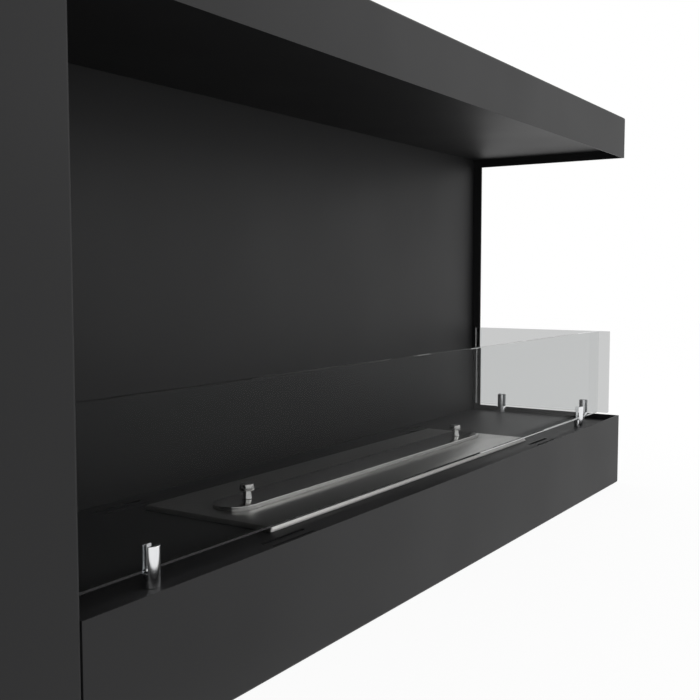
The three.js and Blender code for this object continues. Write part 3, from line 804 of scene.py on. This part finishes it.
def pierced(name: str, finish: Finish, loops: Sequence[Outline], groups: Sequence[Sequence[float]],
            slot: tuple[float, float], grid: tuple[int, int], pitch: tuple[float, float],
            sheet: float) -> bpy.types.Mesh:
    """Punches a grid of slots at each group's centre through a sheet with the given loops.

    Args:
        name: name of the pattern.
        finish: finish of the sheet.
        loops: the outer outline and any single cut-outs.
        groups: centres of the slot groups in the plane.
        slot: length and width of a slot.
        grid: slots along X and Y in a group.
        pitch: spacing of the slots along X and Y.
        sheet: thickness, added below the plane.

    Returns:
        The closed sheet, its upper face at z = 0.
    """
    pattern = Pattern(name, {
        "Slot Length": slot[0], "Slot Width": slot[1], "Columns": grid[0], "Rows": grid[1],
        "Column Pitch": pitch[0], "Row Pitch": pitch[1], "Sheet": sheet,
    })
    centres = pattern.add("GeometryNodeSeparateGeometry", {"domain": "POINT"}, links={
        "Geometry": pattern.value("Places"), "Selection": pattern.flag("loose")})
    loops_as_curves = pattern.add("GeometryNodeMeshToCurve", links={0: centres.outputs["Inverted"]})
    bar = pattern.add("GeometryNodeCurvePrimitiveQuadrilateral", links={
        "Width": pattern.value("Slot Length"), "Height": pattern.value("Slot Width")})
    half = pattern.add("ShaderNodeMath", {"operation": "MULTIPLY"}, {1: 0.4999},
                       {0: pattern.value("Slot Width")})
    hole = pattern.add("GeometryNodeFilletCurve", {"mode": "POLY"}, {"Count": END_STEPS // 2}, {
        "Curve": bar.outputs[0], "Radius": half.outputs[0]})
    spans = {}
    for axis, count in (("Column", "Columns"), ("Row", "Rows")):
        less = pattern.add("ShaderNodeMath", {"operation": "SUBTRACT"}, {1: 1.0}, {0: pattern.value(count)})
        spans[axis] = pattern.add("ShaderNodeMath", {"operation": "MULTIPLY"},
                                  links={0: less.outputs[0], 1: pattern.value(f"{axis} Pitch")})
    group = pattern.add("GeometryNodeMeshGrid", links={
        "Size X": spans["Column"].outputs[0], "Size Y": spans["Row"].outputs[0],
        "Vertices X": pattern.value("Columns"), "Vertices Y": pattern.value("Rows")})
    block = pattern.add("GeometryNodeInstanceOnPoints", links={
        "Points": group.outputs[0], "Instance": hole.outputs[0]})
    spread = pattern.add("GeometryNodeInstanceOnPoints", links={
        "Points": centres.outputs["Selection"], "Instance": block.outputs[0]})
    slots = pattern.add("GeometryNodeRealizeInstances", links={0: spread.outputs[0]})
    both = pattern.add("GeometryNodeJoinGeometry")
    pattern.tree.links.new(slots.outputs[0], both.inputs[0])
    pattern.tree.links.new(loops_as_curves.outputs[0], both.inputs[0])
    flat = pattern.add("GeometryNodeFillCurve", links={0: both.outputs[0]})
    back = pattern.add("GeometryNodeFlipFaces", links={0: flat.outputs[0]})
    thick = pattern.add("GeometryNodeExtrudeMesh", {"mode": "FACES"}, {"Individual": False}, {
        "Mesh": back.outputs[0], "Offset Scale": pattern.value("Sheet")})
    whole = pattern.add("GeometryNodeJoinGeometry")
    pattern.tree.links.new(thick.outputs[0], whole.inputs[0])
    pattern.tree.links.new(flat.outputs[0], whole.inputs[0])
    sealed = pattern.add("GeometryNodeMergeByDistance", values={"Distance": 1e-6},
                         links={0: whole.outputs[0]})
    return pattern.grow(sealed.outputs[0], finish, places(name, groups, loops))


def merged(name: str, *meshes: bpy.types.Mesh) -> bpy.types.Mesh:
    """Welds several meshes into one, and takes out the faces in which they meet.

    Args:
        name: name of the new mesh.
        meshes: the meshes, which are used up.

    Returns:
        The new mesh.
    """
    whole = bmesh.new()
    for mesh in meshes:
        whole.from_mesh(mesh)
        bpy.data.meshes.remove(mesh)
    near = kdtree.KDTree(len(whole.faces))
    for i, face in enumerate(whole.faces):
        near.insert(face.calc_center_median(), i)
    near.balance()
    inner = [face for face in whole.faces if len(near.find_range(face.calc_center_median(), WELD)) > 1]
    bmesh.ops.delete(whole, geom=inner, context="FACES_ONLY")
    bmesh.ops.remove_doubles(whole, verts=whole.verts, dist=WELD)
    result = bpy.data.meshes.new(name)
    whole.to_mesh(result)
    whole.free()
    shade(result)
    return result


# ------------------------------------------------------------------------------ burner and lid


@dataclass
class SnufferLid:
    """The long lid that lies over the flame slot, with its two knobs."""

    length: float = 467 * MM
    width: float = 38 * MM
    height: float = 3.9 * MM
    sheet: float = 1.2 * MM
    edge: float = 0.7 * MM
    taper: float = 0.15 * MM
    stud: float = 3 * MM
    stem: float = 8.6 * MM
    head: float = 13.2 * MM
    head_height: float = 5.6 * MM
    knob_height: float = 12.6 * MM
    foot: float = 0.7 * MM
    waist: float = 0.8 * MM
    gap: float = 0.3 * MM

    def build(self) -> None:
        """Builds the lid and its knobs."""
        self.build_lid()
        self.build_knobs()

    def build_lid(self) -> None:
        """Presses the lid: a flat top, a wall rolled down all round and two holes for the studs."""
        centre = middle("lid")
        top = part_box("lid")[1][2]
        form = Form()

        def outline_of(inset: float) -> Outline:
            return stadium(self.length - 2 * inset, self.width - 2 * inset)

        outer = [(0.0, -self.height)]
        outer += [(self.taper + self.edge - x, z - self.edge)
                  for x, z in arc(0, 0, self.edge, 0, 90, BEND_STEPS)]
        inner = [(self.sheet, -self.height), (self.sheet + self.taper, -self.sheet)]
        shell = form.rings(outline_of, outer)
        cavity = form.rings(outline_of, inner)
        form.skin(shell[0], cavity[0])
        holes = []
        for side in ("left", "right"):
            x = middle(f"lid_knob_{side}").x - centre.x
            bore = moved(arc(0, 0, self.stud / 2 + self.gap, 0, 360, END_STEPS)[:-1], x, 0)
            low, high = form.ring(bore, -self.sheet), form.ring(bore, 0)
            form.skin(low, high)
            holes.append((low, high))
        form.fill(shell[-1], *(high for _, high in holes))
        form.fill(cavity[-1], *(low for low, _ in holes))
        form.place(Matrix.Translation((centre.x, centre.y, top)))
        show("snuffer_lid", form.done("snuffer_lid"), FINE_BRUSHED_STAINLESS_PAINTED_HIGHLIGHT, "lid", ["lid"])

    def build_knobs(self) -> None:
        """Turns the two knobs, each riveted through the lid."""
        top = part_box("lid")[1][2] + self.gap
        stem, head, stud = self.stem / 2, self.head / 2, self.stud / 2
        rivet_top = -self.sheet - 2 * self.gap
        shoulder = self.knob_height - self.head_height
        soft, foot = 0.5 * MM, self.foot
        profile = [(0, rivet_top - 0.6 * MM), (stem - soft, rivet_top - 0.6 * MM), (stem, rivet_top),
                   (stud, rivet_top), (stud, 0)]
        profile += arc(stem + foot, foot, foot, -90, -80, BEND_STEPS)
        profile += [(stem - self.waist, shoulder - 0.3 * MM), (stem - self.waist + 0.3 * MM, shoulder),
                    (head - soft, shoulder)]
        profile += arc(head - soft, shoulder + soft, soft, -90, 85, BEND_STEPS)
        profile += arc(head - self.waist - soft, self.knob_height - soft, soft, 5, 85, BEND_STEPS)
        profile += [(0, self.knob_height)]
        form = Form()
        form.turned(profile)
        points = [(middle(f"lid_knob_{side}").x, middle(f"lid_knob_{side}").y, top) for side in ("left", "right")]
        mesh = copies("knob", form.done("knob"), TURNED_STAINLESS_PAINTED_HIGHLIGHT, points, [0.0, 0.0])
        show("lid_knobs", mesh, TURNED_STAINLESS_PAINTED_HIGHLIGHT, "lid", ["lid_knob_left", "lid_knob_right"])


@dataclass
class Burner:
    """The drop-in burner: plate, slot lining, fuel tank, spill tray and ceramic wool."""

    width: float = 504 * MM
    depth: float = 136.6 * MM
    rim: float = 3.8 * MM
    sheet: float = 1.5 * MM
    corner: float = 2 * MM
    flare: float = 1.4 * MM
    edge_drop: float = 3.7 * MM
    edge: float = 0.35 * MM
    slot: tuple[float, float] = (438 * MM, 23 * MM)
    lining_wall: float = 1.2 * MM
    lining_lip: float = 3.3 * MM

    def build(self) -> None:
        """Builds the plate and the lining of its slot."""
        self.build_plate()
        self.build_lining()

    def build_plate(self) -> None:
        """Presses the plate: brushed top, crisp edge, a flared rim and the flame slot."""
        centre = middle("burner_plate")
        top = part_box("burner_plate")[1][2]

        def outline_of(inset: float) -> Outline:
            return rectangle(self.width - 2 * inset, self.depth - 2 * inset, self.corner - 0.5 * inset)

        form = Form()
        slope = self.flare / self.edge_drop
        outer = [(0.0, -self.rim), (0.0, -self.edge_drop), (self.flare - self.edge * slope, -self.edge)]
        outer += [(self.flare + 0.3 * self.edge, -0.25 * self.edge), (self.flare + self.edge, 0.0)]
        shell = form.rings(outline_of, outer)
        cavity = form.rings(outline_of, [(self.sheet, -self.rim), (self.sheet, -self.sheet)])
        form.skin(shell[0], cavity[0])
        low, high = form.ring(stadium(*self.slot), -self.sheet), form.ring(stadium(*self.slot), 0)
        form.skin(low, high)
        form.fill(shell[-1], high)
        form.fill(cavity[-1], low)
        form.place(Matrix.Translation((centre.x, centre.y, top)))
        show("pressed_burner_plate", form.done("pressed_burner_plate"), BRUSHED_STAINLESS, "burner",
             ["burner_plate"])

    def build_lining(self) -> None:
        """Lines the flame slot with a lipped ring whose lip is rolled over."""
        low, high = (Vector(corner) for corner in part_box("slot_rail_front"))
        centre = middle("burner_plate")
        plate_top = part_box("burner_plate")[1][2]
        length, width = self.slot[0] - 0.6 * MM, self.slot[1] - 0.6 * MM
        lip, wall = self.lining_lip, self.lining_wall

        def outline_of(inset: float) -> Outline:
            return stadium(length - 2 * inset, width - 2 * inset)

        roll = 0.4 * MM
        profile = [(0.0, low.z), (0.0, plate_top), (-lip + roll, plate_top)]
        profile += [(-lip + roll + x, plate_top + roll + z) for x, z in
                    arc(0, 0, roll, -90, -180, BEND_STEPS)]
        profile += [(0.0, plate_top + 1 * MM), (0.2 * MM, high.z), (wall - 0.2 * MM, high.z),
                    (wall, high.z - 0.3 * MM), (wall, low.z)]
        form = Form()
        made = form.rings(outline_of, profile)
        form.skin(made[-1], made[0])
        form.place(Matrix.Translation((centre.x, centre.y, 0)))
        show("slot_lining", form.done("slot_lining"), BRUSHED_STAINLESS, "burner",
             ["slot_rail_front", "slot_rail_rear", "slot_end_left", "slot_end_right"])


# ------------------------------------------------------------------------------ casing

HOLDER_PLACES = ("front_left", "front_right", "side_front", "side_rear")
FLANGE_SCREWS = ("front_left", "front_right", "side")
REAR_SCREWS = ("low_left", "low_right", "high_left", "high_right")


@dataclass
class Casing:
    """The sheet-metal casing, part of which shows as the model's own solids."""

    sheet: float = 1.5 * MM
    bend: float = 1.5 * MM
    turned_edge: float = 16 * MM
    corner: float = 3 * MM
    slot: tuple[float, float] = (53 * MM, 4.2 * MM)
    slot_reach: float = 255 * MM
    slot_setback: float = 18.1 * MM
    slot_pitch: float = 10.7 * MM
    screw_bore: float = 4.6 * MM
    cutout: tuple[float, float] = (484 * MM, 116.6 * MM)
    broken_edge: float = 0.25 * MM
    arris: float = 0.5 * MM

    def build(self) -> None:
        """Dresses the solids and builds the pieces that show more than they do."""
        self.dress()
        self.build_deck()

    def dress(self) -> None:
        """Gives every solid of the model the finish of its slot."""
        slots = {entry["node"]: entry["material_slot"] for entry in frame["record"]["subparts"]}
        tree = soft_bend_tree()
        for name, node in frame["nodes"].items():
            finish = SLOT_FINISH[slots[name]]
            node.data.materials.clear()
            node.data.materials.append(finish.material())
            soft_bends(node, tree, self.arris if finish is TINTED_GLASS else self.broken_edge)
            log.info("dressed %s in %s", name, finish.name)

    def build_deck(self) -> None:
        """Folds the deck and punches its air slots and the burner's cut-out."""
        low, high = (Vector(corner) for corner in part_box("deck"))
        centre = (low + high) / 2
        width, depth = high.x - low.x, high.y - low.y
        burner = middle("burner_plate")

        def outline_of(inset: float) -> Outline:
            return rectangle(width - 2 * inset, depth - 2 * inset, self.corner - 0.5 * inset)

        form = Form()
        outer = [(0.0, -self.turned_edge)]
        outer += [(self.bend - x, z - self.bend) for x, z in arc(0, 0, self.bend, 0, 90, BEND_STEPS)]
        shell = form.rings(outline_of, outer)
        cavity = form.rings(outline_of, [(self.sheet, -self.turned_edge), (self.sheet, -self.sheet)])
        form.skin(shell[0], cavity[0])
        form.skin(shell[-1], cavity[-1])
        rim = form.done("deck_rim")
        loops = [outline_of(self.bend), moved(rectangle(*self.cutout, 2 * MM), burner.x - centre.x,
                                              burner.y - centre.y)]
        for place in HOLDER_PLACES:
            spot = middle(f"holder_screw_{place}") - centre
            loops.append(moved(arc(0, 0, self.screw_bore / 2, 0, 360, END_STEPS)[:-1], spot.x, spot.y))
        away = centre.y - CAD_BOX[0][1] - self.slot_setback - self.slot_pitch / 2
        groups = [(side * self.slot_reach, end * away, 0.0) for side in (-1, 1) for end in (-1, 1)]
        field_sheet = pierced("deck_field", POWDER_COAT, loops, groups, self.slot, (1, 2),
                              (0.0, self.slot_pitch), self.sheet)
        mesh = merged("pierced_deck", rim, field_sheet)
        mesh.transform(Matrix.Translation((centre.x, centre.y, high.z)))
        show("pierced_deck", mesh, POWDER_COAT, "casing", ["deck"])


@dataclass
class RearPanel:
    """The zinc-plated panel behind, with its vents and two hanging holes."""

    sheet: float = 2 * MM
    slot: tuple[float, float] = (60 * MM, 6 * MM)
    slots: int = 9
    pitch: float = 90 * MM
    vent_heights: tuple[float, float] = (47 * MM, 473 * MM)
    keyhole_inset: float = 160 * MM
    keyhole_height: float = 420 * MM
    keyhole_mouth: float = 9 * MM
    keyhole_neck: float = 5 * MM
    keyhole_drop: float = 14 * MM
    screw_bore: float = 8.2 * MM

    def build(self) -> None:
        """Cuts the panel flat, with its face up, and stands it at the rear."""
        low, high = (Vector(corner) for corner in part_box("rear_panel"))
        loops = [moved(rectangle(high.x - low.x, high.z - low.z, 0.5 * MM), 0, -(low.z + high.z) / 2)]
        loops += [moved(self.keyhole(), side * (high.x - self.keyhole_inset), -self.keyhole_height)
                  for side in (-1, 1)]
        for spot in REAR_SCREWS:
            place = middle(f"rear_screw_{spot}")
            loops.append(moved(arc(0, 0, self.screw_bore / 2, 0, 360, END_STEPS)[:-1], place.x, -place.z))
        groups = [(0.0, -height, 0.0) for height in self.vent_heights]
        mesh = pierced("rear_vents", ZINC_PLATE, loops, groups, self.slot, (self.slots, 1),
                       (self.pitch, 0.0), self.sheet)
        mesh.transform(Matrix.Translation((0, high.y, 0)) @ Matrix.Rotation(-math.pi / 2, 4, "X"))
        show("pierced_rear_panel", mesh, ZINC_PLATE, "casing", ["rear_panel"])

    def keyhole(self) -> Outline:
        """Outlines a hanging hole whose mouth lies below its neck once it stands."""
        mouth, neck = self.keyhole_mouth / 2, self.keyhole_neck / 2
        meet = math.degrees(math.acos(neck / mouth))
        reach = self.keyhole_drop - neck
        return (arc(0, reach, mouth, -meet, 180 + 2 * meet, END_STEPS)
                + arc(0, -reach, neck, 180, 180, END_STEPS // 2))


@dataclass
class FlushScrews:
    """Countersunk screws with a hexagon socket, in the floor, the hood and the rear panel."""

    head: float = 7.6 * MM
    shank: float = 4 * MM
    length: float = 9 * MM
    socket: float = 2.9 * MM
    socket_depth: float = 1.6 * MM

    def build(self) -> None:
        """Sets the screws of each side of the casing."""
        sides = {
            "floor_screw": (FLANGE_SCREWS, Matrix.Rotation(math.pi, 4, "X"), (0, 0, 0)),
            "hood_screw": (FLANGE_SCREWS, Matrix.Identity(4), (0, 0, 1)),
            "rear_screw": (REAR_SCREWS, Matrix.Rotation(-math.pi / 2, 4, "X"), (0, 1, 0)),
        }
        for kind, (spots, stance, face) in sides.items():
            names = [f"{kind}_{spot}" for spot in spots]
            points = []
            for name in names:
                low, high = (Vector(corner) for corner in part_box(name))
                point = (low + high) / 2
                for axis in range(3):
                    if face[axis]:
                        point[axis] = high[axis]
                if kind == "floor_screw":
                    point.z = low.z
                points.append(tuple(point))
            model = self.screw(stance)
            mesh = copies(f"{kind}s", model, ZINC_PLATE, points, [0.0] * len(points))
            show(f"{kind}s", mesh, ZINC_PLATE, "casing", names)

    def screw(self, stance: Matrix) -> bpy.types.Mesh:
        """Turns one screw, its head flush with z = 0, and turns it to its side.

        Args:
            stance: rotation that brings its axis to the side that it enters.

        Returns:
            The screw about the origin.
        """
        form = Form()
        head, shank, soft = self.head / 2, self.shank / 2, 0.2 * MM
        form.turned([(0, -self.length), (shank - soft, -self.length), (shank, -self.length + soft),
                     (shank, shank - head), (head, -soft), (head - soft, 0)], 36)
        rim = [v for v in form.mesh.verts if v.co.z == 0]
        socket = arc(0, 0, self.socket / 2, 0, 360, 6)[:-1]
        mouth, floor = form.ring(socket, 0), form.ring(socket, -self.socket_depth)
        form.skin(floor, mouth)
        form.fill(rim, mouth)
        form.fill(floor)
        return form.place(stance).done("flush_screw")


@dataclass
class CeramicWool:
    """The ceramic fibre in the tank, which soaks up the fuel."""

    cell: float = 3 * MM
    loft: float = 0.5 * MM

    def build(self) -> None:
        """Cuts the blanket to the tank and ruffles its skin inwards."""
        low, high = (Vector(corner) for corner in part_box("ceramic_wool"))
        size = high - low
        form = Form()
        bmesh.ops.create_cube(form.mesh, size=1.0, matrix=Matrix.Translation((low + high) / 2)
                              @ Matrix.Diagonal((*size, 1.0)))
        for axis in range(3):
            self.slice(form.mesh, low, size, axis)
        for vert in form.mesh.verts:
            inward = ((low + high) / 2 - vert.co).normalized()
            wave = noise.noise(vert.co / (2.2 * self.cell)) * 0.5 + 0.5
            fuzz = noise.noise(vert.co / (0.6 * self.cell)) * 0.5 + 0.5
            for k in range(3):
                at_face = min(vert.co[k] - low[k], high[k] - vert.co[k]) < 1e-6
                if at_face:
                    vert.co[k] += math.copysign(self.loft * (0.3 + wave + 0.4 * fuzz), inward[k])
        mesh = form.done("ruffled_wool")
        show("ruffled_wool", mesh, CERAMIC_WOOL, "burner", ["ceramic_wool"])

    def slice(self, mesh: bmesh.types.BMesh, low: Vector, size: Vector, axis: int) -> None:
        """Cuts the block into cells along one axis."""
        normal = Vector((0, 0, 0))
        normal[axis] = 1
        for i in range(1, max(2, round(size[axis] / self.cell))):
            point = low + normal * (size[axis] * i / round(size[axis] / self.cell))
            everything = mesh.verts[:] + mesh.edges[:] + mesh.faces[:]
            bmesh.ops.bisect_plane(mesh, geom=everything, plane_co=point, plane_no=normal)


@dataclass
class GlassHolders:
    """Four slotted cylinders that carry the panes."""

    diameter: float = 12 * MM
    height: float = 27 * MM
    slot: float = 6.6 * MM
    slot_shift: float = 1 * MM
    slot_floor: float = 9.5 * MM
    edge: float = 0.6 * MM
    bore: float = 4.6 * MM

    def build(self) -> None:
        """Turns one holder, mills its slot, and sets four of them on the deck."""
        model = self.milled()
        names = [f"glass_holder_{place}" for place in HOLDER_PLACES]
        points = [(middle(n).x, middle(n).y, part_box(n)[0][2]) for n in names]
        turns = [0.0, 0.0, math.pi / 2, math.pi / 2]
        mesh = copies("glass_holder", model, CHROME, points, turns)
        show("glass_holders", mesh, CHROME, "casing", names)

    def milled(self) -> bpy.types.Mesh:
        """Turns the cylinder, cuts the slot and breaks its edges.

        Returns:
            The holder, standing on z = 0 with its slot along X.
        """
        radius = self.diameter / 2
        form = Form()
        profile = [(0, 8 * MM), (self.bore / 2, 8 * MM), (self.bore / 2, 0), (radius - 0.3 * MM, 0),
                   (radius, 0.3 * MM)]
        profile += arc(radius - self.edge, self.height - self.edge, self.edge, 0, 90, BEND_STEPS)
        profile += [(0, self.height)]
        form.turned(profile)
        body = bpy.data.objects.new("holder_body", form.done("holder_body"))
        cutter = Form()
        half = self.slot / 2
        section = [(-half + self.slot_shift, 2 * self.height), (-half + self.slot_shift, self.slot_floor),
                   (half + self.slot_shift, self.slot_floor), (half + self.slot_shift, 2 * self.height)]
        near, far = ([cutter.mesh.verts.new((x, y, z)) for y, z in section] for x in (-radius * 2, radius * 2))
        cutter.skin(near, far)
        cutter.mesh.faces.new(near)
        cutter.mesh.faces.new(far)
        tool = bpy.data.objects.new("holder_slot", cutter.done("holder_slot"))
        for obj in (body, tool):
            bpy.context.scene.collection.objects.link(obj)
        cut = body.modifiers.new("slot", "BOOLEAN")
        cut.object, cut.operation, cut.solver = tool, "DIFFERENCE", "EXACT"
        edge = body.modifiers.new("edge", "BEVEL")
        edge.width, edge.segments, edge.limit_method = 0.25 * MM, 2, "ANGLE"
        edge.angle_limit = math.radians(50)
        graph = bpy.context.evaluated_depsgraph_get()
        mesh = bpy.data.meshes.new_from_object(body.evaluated_get(graph))
        bpy.data.objects.remove(body)
        bpy.data.objects.remove(tool)
        shade(mesh)
        return mesh


# ------------------------------------------------------------------------------ making


def main() -> None:
    """Builds the studio, and the fireplace one sub-assembly after another."""
    Studio().build()
    Casing().build()
    RearPanel().build()
    FlushScrews().build()
    GlassHolders().build()
    Burner().build()
    CeramicWool().build()
    SnufferLid().build()


if __name__ == "__main__":
    main()
